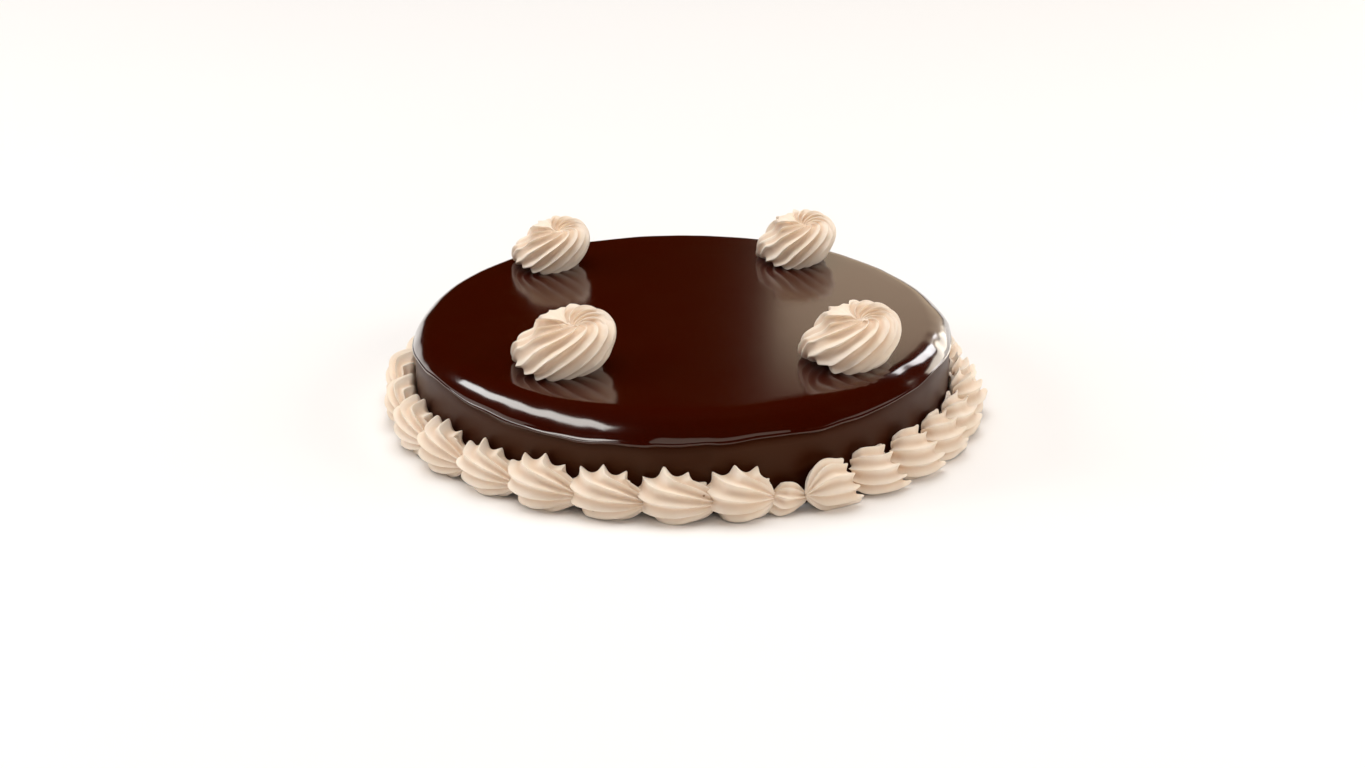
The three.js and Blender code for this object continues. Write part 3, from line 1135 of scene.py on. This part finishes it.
# How much painted shade a crest, flank, furrow and flank of a shell get, through the furrow mark.
SHELL_SHADES = (0, 0.6, 1, 0.6)
WALL_SINK = -0.4 * MM


def flatten(axis, level):
    """Presses flat what goes past a level along an axis: the table or the wall."""
    pick(lambda point: point.co[axis] < level)
    squash = [1, 1, 1]
    squash[axis] = 0
    middle = [0, 0, 0]
    middle[axis] = level
    grow(squash, middle)


def finished_shell(form, star_turn, jag):
    """A shell that runs along Y, with the wall at X nought. The star's turn and the jag vary its teeth."""
    rope = start_rope(SHELL_RIDGES, upright=True)
    turn(math.radians(star_turn), "Y", ORIGIN)
    draw_rings(form)
    fill_mouth(form)
    point_outwards()
    for ring, way in enumerate(SHELL_WAYS):
        depth = min(1, shell_ring(form, way)[2] / SHELL_SHALLOW_BELOW)
        ridge_ring(ring, SHELL_POINTS, SHELL_STAR, depth)
    pull_teeth(form, jag)
    crease_crests(SHELL_POINTS, len(SHELL_WAYS), SHELL_CREASE)
    flatten(Z_AXIS, 0)
    flatten(X_AXIS, WALL_SINK)
    bpy.ops.object.mode_set(mode="OBJECT")
    mark_furrows(rope, SHELL_POINTS, len(SHELL_WAYS), SHELL_SHADES)
    return rope


# %% [markdown]
# ## The runs of shells
# Two runs start side by side at the back and meet at the front, where a small shell closes the ring. For
# each run three masters with other teeth are dealt out in turn, and one more shell ends it. Each copy is
# stretched to its own place on the border and gets a size of its own.

# %% Model the masters
MASTER_TURNS = (0, 9, -7)
JAG_STEP = 1.7
LAST_LEFT_TURN, LAST_RIGHT_TURN = 3, 18
LAST_JAG = 5.1


def run_masters(form, last_form, last_turn):
    """The masters that one run deals out, and the one that ends it."""
    dealt = [finished_shell(form, turned, JAG_STEP * k) for k, turned in enumerate(MASTER_TURNS)]
    return dealt, finished_shell(last_form, last_turn, LAST_JAG)


left_masters = run_masters(LEFT_SHELL, LAST_LEFT_SHELL, LAST_LEFT_TURN)
right_masters = run_masters(RIGHT_SHELL, LAST_RIGHT_SHELL, LAST_RIGHT_TURN)
print("shell points:", len(left_masters[1].data.vertices))

# %% Pipe the border
RUN_START = 88
# Each run has an end angle, a number of shells, a shift of its row of sizes, and its masters.
RUNS = {"left": (287.5, 15, 0, left_masters), "right": (-66.2, 14, 1, right_masters)}
SHELL_ARC_RADIUS = 104 * MM
SIZE_SWAY = 0.04
SIZE_WAVE = 2.4


def pipe_shell(master, node, head, tail, size, stretch):
    """Places a copy of a master between two angles on the border, and mirrors it if it runs clockwise."""
    middle = math.radians((head + tail) / 2)
    place = (WALL_RADIUS * math.cos(middle), WALL_RADIUS * math.sin(middle), 0)
    along = math.copysign(stretch, tail - head)
    piece = copy_to(master, place, middle, (size, along, size))
    soften()
    bpy.ops.object.mode_set(mode="EDIT")
    flatten(Z_AXIS, 0)
    bpy.ops.object.mode_set(mode="OBJECT")
    hand_over(piece, node, cream)


for side, (end, count, salt, (dealt, last)) in RUNS.items():
    pitch = (end - RUN_START) / count
    length = math.radians(abs(pitch)) * SHELL_ARC_RADIUS
    for k in range(count):
        head = RUN_START + k * pitch
        master = last if k == count - 1 else dealt[k % len(dealt)]
        size = 1 + SIZE_SWAY * math.sin(SIZE_WAVE * k + salt)
        pipe_shell(master, f"shell_{side}_{k + 1}", head, head + pitch, size, length / SHELL_LENGTH)
    print(side, "run:", count, "shells of", round(length / MM, 1), "mm")

# %% Close the ring
CLOSING_HEAD, CLOSING_TAIL = -72.5, -67
CLOSING_SCALE = 0.78

closing_master = finished_shell(CLOSING_SHELL, 0, 0)
pipe_shell(closing_master, "shell_closing", CLOSING_HEAD, CLOSING_TAIL, CLOSING_SCALE, CLOSING_SCALE)
for master in (*left_masters[0], left_masters[1], *right_masters[0], right_masters[1], closing_master):
    bpy.data.objects.remove(master)
print("border:", sum(count for _, count, _, _ in RUNS.values()) + 1, "shells")
